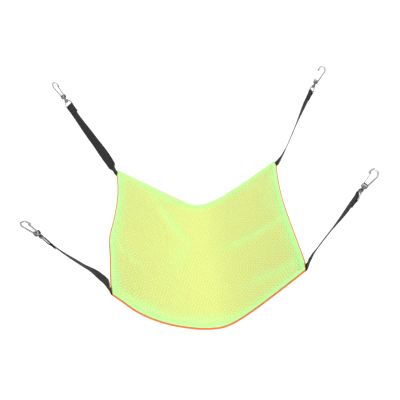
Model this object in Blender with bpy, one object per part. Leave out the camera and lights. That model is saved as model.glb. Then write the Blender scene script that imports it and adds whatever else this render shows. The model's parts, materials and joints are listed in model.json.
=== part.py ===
"""Hanging mesh hammock for a small pet's cage.

Two layers of mesh fabric hang by their corners from four webbing straps. Each strap is folded over the bar of
a D ring, and a snap hook turns in the ring's collar. Metres, +Z up, +X along the wide side, +Y to the back.
The origin is the middle of the four points where the hooks bear on what they hang from.
"""

import math

import bmesh
import bpy
from mathutils import Matrix, Vector

MM = 0.001
GAP = 0.3 * MM  # between pieces that touch

# Where it hangs: the rectangle of the four hooks, and that of the panel's corners, seen from above
HANG_WIDTH = 0.564
HANG_DEPTH = 0.458
PANEL_WIDTH = 0.358
PANEL_DEPTH = 0.394
STRAP_LENGTH = 0.178  # from the panel's corner to the ring's bar

# Panel
MESH_THICKNESS = 1.6 * MM
LAYER_GAP = 0.4 * MM
LOWER_OVERHANG = 2.6 * MM  # the lower layer's edge beyond the upper one's
CUT_ACROSS = 2.5 * MM  # of a corner, along the front or back edge
CUT_ALONG = 20.5 * MM  # along the side edge, where a strap is sewn on
HEM_WIDTH = 9 * MM
HEM_CORNER = (12 * MM, 19 * MM)  # how far in the hem's thread passes each corner
SAG_FRONT = 0.119
SAG_BACK = 0.112
SAG_MIDDLE = 0.004  # extra, half way from front to back
SIDE_SAG = 0.008
TROUGH_AT = (0.535, 0.49)  # share of the width from the left, at the front and at the back
ROUND_LEFT = (2.7, 0.14)  # how round the trough is on that side, at the front and at the back
ROUND_RIGHT = (0.25, 0.31)
LEFT_WAVE = 5.2 * MM  # the left edge swings out, then in
RIGHT_PULL = 7.4 * MM  # the right edge is drawn in towards the back
CELLS_ACROSS = 22
CELLS_ALONG = 14

# Webbing
WEB_WIDTH = 20 * MM
WEB_THICKNESS = 1.4 * MM
TAB_LENGTH = 14 * MM  # sewn under the panel's corner
TAB_GAP = 0.7 * MM
FLEX_GAP = 1.6 * MM  # between the tab and the strap, where the webbing bends
FOLD_LENGTH = 19.5 * MM  # of the end that is folded back over the bar
FOLD_CLOSES = 8 * MM  # below the bar the two thicknesses lie together
STRAIGHT_LENGTH = 24 * MM
STRAP_STEPS = 20
BEND_REACH = 0.05  # how far the panel's slope carries into the strap

# Thread
THREAD = 0.8 * MM
THREAD_HOLE = THREAD + 2 * GAP
FOLD_STITCH = (12 * MM, 8 * MM)
FOLD_STITCH_AT = 14 * MM  # its middle, below the bar
CORNER_STITCH = (12 * MM, 3.6 * MM)
CORNER_STITCH_AT = 4.4 * MM  # its middle, in from the cut corner

# Ring, in its own frame: the bar's middle is the origin, the collar is up along Z
BAR_RADIUS = 1.15 * MM
RING_SIDE_GAP = 0.4 * MM
RING_HEIGHT = 13.2 * MM  # from the bar to the collar's middle
RING_SHOULDER = 5.5 * MM
RING_TOP = 9 * MM
COLLAR_RADIUS = 3.3 * MM
COLLAR_HEIGHT = 4.4 * MM

# Hook, in the same frame
SHANK_RADIUS = 1.6 * MM
HEAD_RADIUS = 2.7 * MM
HEAD_HEIGHT = 2.2 * MM
NECK_LENGTH = 3.4 * MM
BLOCK = (10 * MM, 7.2 * MM, 7.8 * MM)
BOW_RADIUS = 1.3 * MM
NOSE_RADIUS = 1.7 * MM
NOSE_LENGTH = 5 * MM
BOW_HEIGHT = 31 * MM  # from the block's top to the middle of the bow's wire
BOW_SPINE = 8.2 * MM  # how far the spine stands out at its widest
BOW_NOSE = 5.9 * MM

# Gate
LEAF_THICKNESS = 0.7 * MM
LEAF_WIDTH = 3.2 * MM
LEAF_LAP = 3 * MM  # behind the nose
EYE_RADIUS = 1.7 * MM
RIVET_RADIUS = 0.9 * MM
RIVET_HEAD_RADIUS = 1.7 * MM
RIVET_HEAD = 0.6 * MM

COLLAR_BOTTOM = RING_HEIGHT - COLLAR_HEIGHT / 2
COLLAR_TOP = RING_HEIGHT + COLLAR_HEIGHT / 2
NECK_BOTTOM = COLLAR_TOP + 2 * GAP
BLOCK_BOTTOM = NECK_BOTTOM + NECK_LENGTH
BLOCK_TOP = BLOCK_BOTTOM + BLOCK[2]
BOW_TOP = BLOCK_TOP + BOW_HEIGHT
HOOK_REACH = BOW_TOP - BOW_RADIUS  # from the bar to what the bow hangs on
NOSE_END = BOW_TOP - 12 * MM
PIVOT = Vector((-2.6 * MM, 0, BLOCK_TOP - 3 * MM))

# The corners: side is its sign in X and Y. The shifts let it hang a little unevenly, as it does by hand.
# lift is how far the webbing bends up beside its tab. turns are the strap's twist at shares of its length, and
# spin is the hook's turn in its ring, all in degrees.
CORNERS = {
    "back_left": {
        "side": (-1, 1),
        "hang_shift": (-0.002, 0.003, 0.004),
        "panel_shift": (0.002, 0.0035),
        "lift": 35,
        "turns": ((0, 0), (0.08, -2), (0.18, -43), (0.35, -60), (0.6, -35), (1, -17)),
        "spin": 90,
    },
    "back_right": {
        "side": (1, 1),
        "hang_shift": (0.007, -0.005, -0.004),
        "panel_shift": (0.007, 0.0045),
        "lift": 10,
        "turns": ((0, 0), (0.08, -6), (0.18, -15), (0.35, -23), (0.6, -21), (1, -2)),
        "spin": 70,
    },
    "front_right": {
        "side": (1, -1),
        "hang_shift": (-0.012, 0.012, 0.011),
        "panel_shift": (-0.0035, 0.006),
        "lift": 40,
        "turns": ((0, 0), (0.08, 1), (0.18, -6), (0.35, -20), (0.6, -21), (1, -3)),
        "spin": 60,
    },
    "front_left": {
        "side": (-1, -1),
        "hang_shift": (0, -0.014, -0.012),
        "panel_shift": (0.0035, 0.002),
        "lift": 55,
        "turns": ((0, 0), (0.08, -11), (0.18, -18), (0.35, -9), (0.6, 16), (1, 24)),
        "spin": 50,
    },
}


def clear_scene():
    for obj in list(bpy.data.objects):
        bpy.data.objects.remove(obj, do_unlink=True)


def material(name, color, roughness, metallic=0.0):
    made = bpy.data.materials.new(name)
    made.use_nodes = True
    shader = made.node_tree.nodes["Principled BSDF"]
    shader.inputs["Base Color"].default_value = (*color, 1)
    shader.inputs["Roughness"].default_value = roughness
    shader.inputs["Metallic"].default_value = metallic
    made.diffuse_color = (*color, 1)
    return made


def add_object(name, mesh, finish=None, matrix=None, parent=None):
    """An object whose matrix is given in world space, under an empty where it moves."""
    obj = bpy.data.objects.new(name, mesh)
    bpy.context.scene.collection.objects.link(obj)
    if parent:
        obj.parent = parent
        bpy.context.view_layer.update()
    obj.matrix_world = matrix or Matrix.Identity(4)
    if finish and not mesh.materials:
        mesh.materials.append(finish)
    return obj


def add_empty(name, matrix, parent=None):
    empty = add_object(name, None, matrix=matrix, parent=parent)
    empty.empty_display_size = 0.01
    bpy.context.view_layer.update()
    return empty


def frame_matrix(x, y, z, origin):
    turn = Matrix((x, y, z)).transposed()
    return Matrix.Translation(origin) @ turn.to_4x4()


def mesh_of(points, faces):
    mesh = bpy.data.meshes.new("shape")
    mesh.from_pydata([tuple(p) for p in points], [], faces)
    shape = bmesh.new()
    shape.from_mesh(mesh)
    bmesh.ops.recalc_face_normals(shape, faces=shape.faces)
    shape.to_mesh(mesh)
    shape.free()
    return mesh


def boolean_of(base, joined=(), cut=()):
    """The base mesh with the joined meshes added and the cut ones taken away."""
    body = bpy.data.objects.new("body", base)
    helpers = [body]
    bpy.context.scene.collection.objects.link(body)
    for operation, meshes in (("UNION", joined), ("DIFFERENCE", cut)):
        for mesh in meshes:
            tool = bpy.data.objects.new("tool", mesh)
            tool.hide_render = True
            tool.display_type = "WIRE"
            bpy.context.scene.collection.objects.link(tool)
            helpers.append(tool)
            step = body.modifiers.new(operation.title(), "BOOLEAN")
            step.operation = operation
            step.object = tool
    graph = bpy.context.evaluated_depsgraph_get()
    result = bpy.data.meshes.new_from_object(body.evaluated_get(graph))
    for helper in helpers:
        bpy.data.objects.remove(helper, do_unlink=True)
    return result


def rounded(mesh):
    mesh.shade_smooth()
    mesh.set_sharp_from_angle(angle=math.radians(40))
    return mesh


def box(low, high, bevel=0.0):
    shape = bmesh.new()
    bmesh.ops.create_cube(shape, size=1)
    size = Vector(high) - Vector(low)
    bmesh.ops.scale(shape, vec=size, verts=shape.verts)
    bmesh.ops.translate(shape, vec=(Vector(high) + Vector(low)) / 2, verts=shape.verts)
    if bevel:
        bmesh.ops.bevel(
            shape, geom=shape.edges[:], offset=bevel, segments=2, profile=0.5, affect="EDGES"
        )
    mesh = bpy.data.meshes.new("box")
    shape.to_mesh(mesh)
    shape.free()
    return mesh


def turned(profile, sides=16):
    """A solid turned round Z from (radius, height) pairs, lowest first, with flat ends."""
    points, faces = [], []
    for radius, height in profile:
        for k in range(sides):
            angle = 2 * math.pi * k / sides
            points.append((radius * math.cos(angle), radius * math.sin(angle), height))
    for ring in range(len(profile) - 1):
        low, high = ring * sides, (ring + 1) * sides
        for k in range(sides):
            after = (k + 1) % sides
            faces.append((low + k, low + after, high + after, high + k))
    faces.append(tuple(range(sides)))
    faces.append(tuple(range(len(points) - sides, len(points))))
    return mesh_of(points, faces)


def along_y(mesh, centre):
    mesh.transform(Matrix.Translation(centre) @ Matrix.Rotation(math.radians(90), 4, "X"))
    return mesh


def filleted(corners, closed=False, steps=5):
    """Points in XZ along straight runs between (x, z, fillet radius) corners, with an arc at each corner."""
    path = []
    count = len(corners)
    for k, (x, z, radius) in enumerate(corners):
        here = Vector((x, z))
        if not closed and k in (0, count - 1) or radius == 0:
            path.append(here)
            continue
        before = (Vector(corners[k - 1][:2]) - here).normalized()
        after = (Vector(corners[(k + 1) % count][:2]) - here).normalized()
        half = before.angle(after) / 2
        centre = here + (before + after).normalized() * radius / math.sin(half)
        start = here + before * radius / math.tan(half) - centre
        end = here + after * radius / math.tan(half) - centre
        turn = start.angle_signed(end)
        for n in range(steps + 1):
            path.append(centre + Matrix.Rotation(-turn * n / steps, 2) @ start)
    return path


def wire(path, radii, closed=False, sides=8):
    """A wire that follows points in the XZ plane, with one flat of its section facing in."""
    points, faces = [], []
    count = len(path)
    for k, here in enumerate(path):
        before = path[k - 1] if closed or k else path[0]
        after = path[(k + 1) % count] if closed or k < count - 1 else path[-1]
        into = (here - before).normalized() if (here - before).length else (after - here).normalized()
        out = (after - here).normalized() if (after - here).length else into
        along = (into + out).normalized()
        stretch = 1 / max(0.5, along.dot(into))
        side = Vector((-along.y, along.x))
        for n in range(sides):
            angle = 2 * math.pi * (n + 0.5) / sides
            reach = radii[k] / math.cos(math.pi / sides)
            flat = here + side * reach * math.cos(angle) * stretch
            points.append((flat.x, reach * math.sin(angle), flat.y))
    for k in range(count if closed else count - 1):
        low, high = k * sides, (k + 1) % count * sides
        for n in range(sides):
            after = (n + 1) % sides
            faces.append((low + n, low + after, high + after, high + n))
    if not closed:
        faces.append(tuple(range(sides)))
        faces.append(tuple(range(len(points) - sides, len(points))))
    return mesh_of(points, faces)


def lattice(xs, ys, zs, filled):
    """The outer skin of the filled cells of a grid of three lists of planes."""
    points, index, faces = [], {}, []

    def corner(i, j, k):
        if (i, j, k) not in index:
            index[i, j, k] = len(points)
            points.append((xs[i], ys[j], zs[k]))
        return index[i, j, k]

    sides = {
        (1, 0, 0): ((1, 0, 0), (1, 1, 0), (1, 1, 1), (1, 0, 1)),
        (-1, 0, 0): ((0, 0, 0), (0, 0, 1), (0, 1, 1), (0, 1, 0)),
        (0, 1, 0): ((0, 1, 0), (0, 1, 1), (1, 1, 1), (1, 1, 0)),
        (0, -1, 0): ((0, 0, 0), (1, 0, 0), (1, 0, 1), (0, 0, 1)),
        (0, 0, 1): ((0, 0, 1), (1, 0, 1), (1, 1, 1), (0, 1, 1)),
        (0, 0, -1): ((0, 0, 0), (0, 1, 0), (1, 1, 0), (1, 0, 0)),
    }
    for cell in filled:
        for step, loop in sides.items():
            if tuple(c + s for c, s in zip(cell, step)) in filled:
                continue
            faces.append([corner(*(c + s for c, s in zip(cell, at))) for at in loop])
    return mesh_of(points, faces)


def box_stitch(width, length, low, high):
    """A sewn rectangle in XY: a frame of thread on each face, joined by a leg at each corner."""

    def planes(size):
        return (-size / 2, -size / 2 + THREAD, size / 2 - THREAD, size / 2)

    rim = [(i, j) for i in range(3) for j in range(3) if (i, j) != (1, 1)]
    corners = [(i, j) for i in (0, 2) for j in (0, 2)]
    filled = {(i, j, k) for i, j in rim for k in (0, 2)} | {(i, j, 1) for i, j in corners}
    heights = (low - THREAD, low, high, high + THREAD)
    return lattice(planes(width), planes(length), heights, filled)


def stitch_holes(width, length, low, high):
    """Cutters for the legs of a box stitch."""
    cutters = []
    for x in (-1, 1):
        for y in (-1, 1):
            middle = Vector((x * (width - THREAD) / 2, y * (length - THREAD) / 2, 0))
            half = Vector((THREAD_HOLE / 2, THREAD_HOLE / 2, 0))
            cutters.append(box(middle - half + Vector((0, 0, low)), middle + half + Vector((0, 0, high))))
    return cutters


def moved(mesh, matrix):
    mesh.transform(matrix)
    return mesh


# The panel's surface


def hang_point(corner):
    x, y = corner["side"]
    return Vector((x * HANG_WIDTH / 2, y * HANG_DEPTH / 2, 0)) + Vector(corner["hang_shift"])


def panel_corner(corner):
    """The corner hangs below its hook by what the strap and the hook leave."""
    x, y = corner["side"]
    shift = corner["panel_shift"]
    top = hang_point(corner)
    point = Vector((x * PANEL_WIDTH / 2 + shift[0], y * PANEL_DEPTH / 2 + shift[1], 0))
    across = (point.xy - top.xy).length
    point.z = top.z - math.sqrt((STRAP_LENGTH + HOOK_REACH) ** 2 - across**2)
    return point


def from_front(pair, v):
    return pair[0] + (pair[1] - pair[0]) * v


def trough(u, v):
    """1 at the bottom of the trough, 0 at both edges: a V with a round bottom."""
    at = from_front(TROUGH_AT, v)
    half = at if u < at else 1 - at
    roundness = from_front(ROUND_LEFT if u < at else ROUND_RIGHT, v)
    t = (u - at) / half
    top = math.sqrt(1 + roundness**2)
    return (top - math.sqrt(t * t + roundness**2)) / (top - roundness)


def panel_point(u, v):
    """The middle surface between the layers: u from left to right, v from front to back."""
    points = {name: panel_corner(corner) for name, corner in CORNERS.items()}
    front = points["front_left"].lerp(points["front_right"], u)
    back = points["back_left"].lerp(points["back_right"], u)
    point = front.lerp(back, v)
    middle = 4 * v * (1 - v)
    depth = trough(u, v)
    point.z -= (from_front((SAG_FRONT, SAG_BACK), v) + SAG_MIDDLE * middle) * depth
    point.z -= SIDE_SAG * middle * (1 - depth)
    point.x -= LEFT_WAVE * math.sin(2 * math.pi * v**1.3) * (1 - u) ** 2
    point.x -= RIGHT_PULL * math.sin(math.pi * v**1.6) * u**2
    return point


def panel_normal(u, v):
    step = 0.004
    across = panel_point(u + step, v) - panel_point(u - step, v)
    along = panel_point(u, min(v + step, 1)) - panel_point(u, max(v - step, 0))
    return across.cross(along).normalized()


def grid_lines(size, cut, cells):
    """Shares of the size: the cut corner's line at each end, the rest even."""
    edge = cut / size
    return [0] + [edge + (1 - 2 * edge) * k / (cells - 2) for k in range(cells - 1)] + [1]


LINES_U = grid_lines(PANEL_WIDTH, CUT_ACROSS, CELLS_ACROSS)
LINES_V = grid_lines(PANEL_DEPTH, CUT_ALONG, CELLS_ALONG)


def layer_point(i, j, overhang, offset):
    """A grid point of a layer, its edge moved out by the overhang, offset along the surface's normal."""
    u, v = LINES_U[i], LINES_V[j]
    point = panel_point(u, v)
    normal = panel_normal(u, v)
    for at, last, cut, inner in (
        (i, len(LINES_U) - 1, CUT_ACROSS, lambda n: (LINES_U[n], v)),
        (j, len(LINES_V) - 1, CUT_ALONG, lambda n: (u, LINES_V[n])),
    ):
        if at in (0, last):
            beside = panel_point(*inner(1 if at == 0 else last - 1))
            point += (point - beside) * overhang / cut
    return point + normal * offset


def layer_mesh(overhang, low, high):
    """A closed sheet between two offsets, its four corners cut off."""
    last_i, last_j = len(LINES_U) - 1, len(LINES_V) - 1
    points, index, faces = [], {}, []
    for i in range(last_i + 1):
        for j in range(last_j + 1):
            if i in (0, last_i) and j in (0, last_j):
                continue
            index[i, j] = len(points)
            points += [layer_point(i, j, overhang, low), layer_point(i, j, overhang, high)]
    edges = set()
    for i in range(last_i):
        for j in range(last_j):
            cell = ((i, j), (i + 1, j), (i + 1, j + 1), (i, j + 1))
            loop = [index[at] for at in cell if at in index]
            for piece in (loop[:3], [loop[0], *loop[2:]]):
                if len(piece) == 3:
                    faces.append([n + 1 for n in piece])
                    faces.append(piece[::-1])
                    edges |= set(zip(piece, piece[1:] + piece[:1]))
    for a, b in edges:
        if (b, a) not in edges:
            faces.append((a, b, b + 1, a + 1))
    return mesh_of(points, faces)


def corner_frame(corner):
    """The cut corner: X along the cut, Y out of the panel, Z up from it, its origin on the cut's middle."""
    i = 0 if corner["side"][0] < 0 else len(LINES_U) - 1
    j = 0 if corner["side"][1] < 0 else len(LINES_V) - 1
    near_i = 1 if i == 0 else i - 1
    near_j = 1 if j == 0 else j - 1
    first = layer_point(near_i, j, LOWER_OVERHANG, 0)
    second = layer_point(i, near_j, LOWER_OVERHANG, 0)
    inner = layer_point(near_i, near_j, 0, 0)
    along = (second - first).normalized()
    middle = (first + second) / 2
    normal = along.cross(inner - middle).normalized()
    normal *= 1 if normal.z > 0 else -1
    out = normal.cross(along)
    if out.dot(middle - inner) < 0:
        along, out = -along, -out
    return frame_matrix(along, out, normal, middle)


def hem_thread_line():
    """Shares of the width and the depth along the hem's thread, which passes inside each corner's stitches."""
    hem_u, hem_v = HEM_WIDTH / PANEL_WIDTH, HEM_WIDTH / PANEL_DEPTH
    past_u, past_v = (share / size for share, size in zip(HEM_CORNER, (PANEL_WIDTH, PANEL_DEPTH)))
    front = [(past_u, hem_v)] + [(u, hem_v) for u in LINES_U[2:-2]] + [(1 - past_u, hem_v)]
    right = [(1 - past_u, past_v)] + [(1 - hem_u, v) for v in LINES_V[2:-2]] + [(1 - past_u, 1 - past_v)]
    back = [(u, 1 - v) for u, v in reversed(front)]
    left = [(1 - u, v) for u, v in reversed(right)]
    return front + right + back + left


def hem_thread_mesh():
    """One closed run of thread on the upper layer."""
    low = LAYER_GAP / 2 + MESH_THICKNESS + 1.5 * GAP
    points, faces = [], []
    for u, v in hem_thread_line():
        normal = panel_normal(u, v)
        point = panel_point(u, v)
        outward = (point - panel_point(0.5, 0.5)) * Vector((1, 1, 0))
        outward = (outward - normal * outward.dot(normal)).normalized()
        for across, up in ((-0.5, 0), (0.5, 0), (0.5, 1), (-0.5, 1)):
            points.append(point + outward * across * THREAD + normal * (low + up * THREAD))
    count = len(points) // 4
    for k in range(count):
        a, b = 4 * k, 4 * ((k + 1) % count)
        for n in range(4):
            after = (n + 1) % 4
            faces.append((a + n, a + after, b + after))
            faces.append((a + n, b + after, b + n))
    return mesh_of(points, faces)


# Strap


def strap_path(start, ring):
    """(middle, width direction, thickness direction) from the panel up, round the bar and back down."""
    bend = WEB_THICKNESS / 2 + GAP / 2
    foot = ring @ Vector((0, -bend, -STRAIGHT_LENGTH))
    rise = (ring.to_3x3() @ Vector((0, 0, 1))).normalized()
    origin = start.translation
    out = (start.to_3x3() @ Vector((0, 1, 0))).normalized()
    width = (start.to_3x3() @ Vector((1, 0, 0))).normalized()
    reach = (foot - origin).length
    leave = out * BEND_REACH * 2
    arrive = rise * reach
    sections = []
    last = None
    for k in range(STRAP_STEPS + 1):
        t = k / STRAP_STEPS
        h = (2 * t**3 - 3 * t**2 + 1, t**3 - 2 * t**2 + t, 3 * t**2 - 2 * t**3, t**3 - t**2)
        g = (6 * t**2 - 6 * t, 3 * t**2 - 4 * t + 1, 6 * t - 6 * t**2, 3 * t**2 - 2 * t)
        point = origin * h[0] + leave * h[1] + foot * h[2] + arrive * h[3]
        along = (origin * g[0] + leave * g[1] + foot * g[2] + arrive * g[3]).normalized()
        if last:
            width = last.rotation_difference(along) @ width
        last = along
        sections.append((point, along, width.copy(), t))
    return sections


def twist_at(turns, t):
    """Radians of twist, easing from one of the turns to the next."""
    for (low, first), (high, second) in zip(turns, turns[1:]):
        if t <= high:
            share = (t - low) / (high - low)
            return math.radians(first + (second - first) * share * share * (3 - 2 * share))
    return math.radians(turns[-1][1])


def strap_mesh(start, ring, turns):
    sections = strap_path(start, ring)
    _, along, width, _ = sections[-1]
    bar = (ring.to_3x3() @ Vector((1, 0, 0))).normalized()
    end_turn = math.atan2(width.cross(bar).dot(along), width.dot(bar))
    rest = end_turn - twist_at(turns, 1)
    frames = []
    for point, along, width, t in sections:
        side = Matrix.Rotation(twist_at(turns, t) + rest * t, 3, along) @ width
        frames.append((point, side, along.cross(side)))
    close = WEB_THICKNESS / 2 + GAP / 2
    wrap = BAR_RADIUS + GAP + WEB_THICKNESS / 2
    path = [(-close, -FOLD_CLOSES - 3 * MM), (-close, -FOLD_CLOSES)]
    path += [(-wrap * math.cos(a), wrap * math.sin(a)) for a in (math.pi * n / 10 for n in range(11))]
    path += [(close, -FOLD_CLOSES), (close, -FOLD_CLOSES - 3 * MM), (close, -FOLD_LENGTH)]
    side = ring.to_3x3() @ Vector((1, 0, 0))
    for k, (y, z) in enumerate(path):
        before = Vector(path[max(k - 1, 0)])
        after = Vector(path[min(k + 1, len(path) - 1)])
        along = (after - before).normalized()
        if k == 0:
            along = Vector((0, 1))
        normal = ring.to_3x3() @ Vector((0, along.y, -along.x))
        frames.append((ring @ Vector((0, y, z)), side, normal))
    points, faces = [], []
    for point, side, normal in frames:
        for x, y in ((-1, -1), (1, -1), (1, 1), (-1, 1)):
            points.append(point + side * x * WEB_WIDTH / 2 + normal * y * WEB_THICKNESS / 2)
    for k in range(len(frames) - 1):
        a, b = 4 * k, 4 * (k + 1)
        for n in range(4):
            after = (n + 1) % 4
            faces.append((a + n, a + after, b + after))
            faces.append((a + n, b + after, b + n))
    faces.append((0, 1, 2, 3))
    faces.append(tuple(range(len(points) - 4, len(points))))
    return mesh_of(points, faces)


# Metal pieces, each in the ring's frame


def ring_mesh():
    half = WEB_WIDTH / 2 + RING_SIDE_GAP + BAR_RADIUS
    outline = [
        (-half, 0, 2 * MM),
        (half, 0, 2 * MM),
        (half, RING_SHOULDER, 4 * MM),
        (RING_TOP / 2, RING_HEIGHT, 3 * MM),
        (-RING_TOP / 2, RING_HEIGHT, 3 * MM),
        (-half, RING_SHOULDER, 4 * MM),
    ]
    path = filleted(outline, closed=True, steps=3)
    loop = wire(path, [BAR_RADIUS] * len(path), closed=True)
    collar = turned([(COLLAR_RADIUS, COLLAR_BOTTOM), (COLLAR_RADIUS, COLLAR_TOP)])
    bore_radius = SHANK_RADIUS + GAP
    bore = turned([(bore_radius, COLLAR_BOTTOM - 1 * MM), (bore_radius, COLLAR_TOP + 1 * MM)])
    return rounded(boolean_of(loop, joined=[collar], cut=[bore]))


def bow_path():
    outline = [
        (BLOCK[0] / 2 - 1.6 * MM, BLOCK_TOP - 4 * MM, 0),
        (BOW_SPINE, BOW_TOP - 7.5 * MM, 4 * MM),
        (BOW_SPINE - 3.4 * MM, BOW_TOP, 3.5 * MM),
        (-BOW_NOSE + 2.3 * MM, BOW_TOP, 3 * MM),
        (-BOW_NOSE, NOSE_END + NOSE_LENGTH, 0),
        (-BOW_NOSE, NOSE_END + NOSE_LENGTH - 0.8 * MM, 0),
        (-BOW_NOSE, NOSE_END, 0),
    ]
    path = filleted(outline, steps=4)
    radii = [BOW_RADIUS] * (len(path) - 2) + [NOSE_RADIUS] * 2
    return path, radii


def hook_mesh():
    path, radii = bow_path()
    bow = wire(path, radii)
    block_low = (-BLOCK[0] / 2, -BLOCK[1] / 2, BLOCK_BOTTOM)
    block_high = (BLOCK[0] / 2, BLOCK[1] / 2, BLOCK_TOP)
    block = box(block_low, block_high, bevel=1.6 * MM)
    head_top = COLLAR_BOTTOM - GAP
    stem = turned(
        [
            (HEAD_RADIUS - 0.5 * MM, head_top - HEAD_HEIGHT),
            (HEAD_RADIUS, head_top - HEAD_HEIGHT + 0.5 * MM),
            (HEAD_RADIUS, head_top - 0.3 * MM),
            (SHANK_RADIUS, head_top),
            (SHANK_RADIUS, NECK_BOTTOM),
            (SHANK_RADIUS + 1.6 * MM, BLOCK_BOTTOM),
            (SHANK_RADIUS + 1.6 * MM, BLOCK_BOTTOM + 1 * MM),
        ]
    )
    slot_half = LEAF_WIDTH / 2 + 1.3 * GAP
    slot = box(
        (-BLOCK[0], -slot_half, PIVOT.z - EYE_RADIUS - 1.6 * GAP),
        (PIVOT.x + EYE_RADIUS + 1.6 * GAP, slot_half, BLOCK_TOP + 2 * MM),
    )
    reach = BLOCK[1]
    hole = along_y(turned([(RIVET_RADIUS + GAP, -reach), (RIVET_RADIUS + GAP, reach)], 12), PIVOT)
    return rounded(boolean_of(block, joined=[stem, bow], cut=[slot, hole]))


def gate_mesh():
    """The leaf spring with the eye it turns on, its origin on the rivet's axis."""
    outer = -BOW_NOSE + NOSE_RADIUS + 1.2 * GAP - PIVOT.x
    leaf = box(
        (outer, -LEAF_WIDTH / 2, 0),
        (outer + LEAF_THICKNESS, LEAF_WIDTH / 2, NOSE_END + LEAF_LAP - PIVOT.z),
    )
    half = LEAF_WIDTH / 2
    middle = Vector((0, 0, 0))
    eye = along_y(turned([(EYE_RADIUS, -half), (EYE_RADIUS, half)], 12), middle)
    bore_radius = RIVET_RADIUS + GAP
    bore = along_y(turned([(bore_radius, -2 * half), (bore_radius, 2 * half)], 12), middle)
    return rounded(boolean_of(eye, joined=[leaf], cut=[bore]))


def rivet_mesh():
    face = BLOCK[1] / 2 + GAP
    end = face + RIVET_HEAD
    profile = [
        (RIVET_HEAD_RADIUS * 0.7, -end),
        (RIVET_HEAD_RADIUS, -face - RIVET_HEAD / 2),
        (RIVET_HEAD_RADIUS, -face),
        (RIVET_RADIUS, -face),
        (RIVET_RADIUS, face),
        (RIVET_HEAD_RADIUS, face),
        (RIVET_HEAD_RADIUS, face + RIVET_HEAD / 2),
        (RIVET_HEAD_RADIUS * 0.7, end),
    ]
    return rounded(along_y(turned(profile, 12), PIVOT))


# Assembly


def tab_heights():
    high = -LAYER_GAP / 2 - MESH_THICKNESS - TAB_GAP
    return high - WEB_THICKNESS, high


def build_panel(finishes):
    inner = LAYER_GAP / 2
    outer = inner + MESH_THICKNESS
    upper = layer_mesh(0, inner, outer)
    lower = layer_mesh(LOWER_OVERHANG, -outer, -inner)
    cutters = []
    for corner in CORNERS.values():
        at = corner_frame(corner) @ Matrix.Translation((0, -CORNER_STITCH_AT, 0))
        for cutter in stitch_holes(*CORNER_STITCH, -4 * MM, 4 * MM):
            cutters.append(moved(cutter, at))
    upper = boolean_of(upper, cut=cutters)
    lower = boolean_of(lower, cut=cutters)
    add_object("upper_mesh_panel", rounded(upper), finishes["mesh_green"])
    add_object("lower_mesh_panel", rounded(lower), finishes["mesh_orange"])
    add_object("hem_thread", hem_thread_mesh(), finishes["thread_green"])


def ring_frame(start, top, twist):
    """The ring's frame: Z from the panel's corner to the hang point, X along the bar, turned with the strap."""
    rise = (top - start.translation).normalized()
    origin = top - rise * HOOK_REACH
    out = start.to_3x3() @ Vector((0, 1, 0))
    width = start.to_3x3() @ Vector((1, 0, 0))
    carried = out.rotation_difference(rise) @ width
    bar = Matrix.Rotation(math.radians(twist), 3, rise) @ carried
    return frame_matrix(bar, rise.cross(bar), rise, origin)


def build_corner(name, corner, shapes, finishes):
    cut = corner_frame(corner)
    tab_low, tab_high = tab_heights()
    middle = (tab_low + tab_high) / 2
    hinge = cut @ Matrix.Translation((0, FLEX_GAP / 2, middle))
    lift = Matrix.Rotation(math.radians(corner["lift"]), 4, "X")
    start = hinge @ lift @ Matrix.Translation((0, FLEX_GAP / 2, 0))
    turns = corner["turns"]
    ring = ring_frame(start, hang_point(corner), turns[-1][1])
    hook = ring @ Matrix.Rotation(math.radians(corner["spin"]), 4, "Z")

    flex = add_empty(f"{name}_flex_axis", hinge)
    bar = add_empty(f"{name}_bar_axis", ring, flex)
    swivel = add_empty(f"{name}_swivel_axis", hook, bar)
    pivot = add_empty(f"{name}_gate_axis", hook @ Matrix.Translation(PIVOT), swivel)

    at = cut @ Matrix.Translation((0, -CORNER_STITCH_AT, 0))
    half = WEB_WIDTH / 2
    tab = box((-half, CORNER_STITCH_AT - TAB_LENGTH, tab_low), (half, CORNER_STITCH_AT, tab_high))
    holes = stitch_holes(*CORNER_STITCH, tab_low - 1 * MM, tab_high + 1 * MM)
    add_object(f"{name}_tab", boolean_of(tab, cut=holes), finishes["webbing"], at)
    top = LAYER_GAP / 2 + MESH_THICKNESS + 1.5 * GAP
    stitch = box_stitch(*CORNER_STITCH, tab_low - GAP, top)
    add_object(f"{name}_corner_thread", stitch, finishes["thread_green"], at)

    face = WEB_THICKNESS + GAP / 2
    sewn = ring @ Matrix.Translation((0, 0, -FOLD_STITCH_AT)) @ Matrix.Rotation(math.radians(90), 4, "X")
    holes = [moved(cutter, sewn) for cutter in stitch_holes(*FOLD_STITCH, -4 * MM, 4 * MM)]
    strap = boolean_of(strap_mesh(start, ring, turns), cut=holes)
    strap.transform(flex.matrix_world.inverted())
    add_object(f"{name}_strap", rounded(strap), finishes["webbing"], hinge, flex)
    stitch = box_stitch(*FOLD_STITCH, -face - GAP, face + GAP)
    add_object(f"{name}_fold_thread", stitch, finishes["thread_black"], sewn, flex)

    add_object(f"{name}_ring", shapes["ring"], finishes["steel"], ring, bar)
    add_object(f"{name}_hook", shapes["hook"], finishes["steel"], hook, swivel)
    add_object(f"{name}_gate_rivet", shapes["rivet"], finishes["steel"], hook, swivel)
    add_object(f"{name}_gate", shapes["gate"], finishes["leaf_steel"], pivot.matrix_world, pivot)


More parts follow.
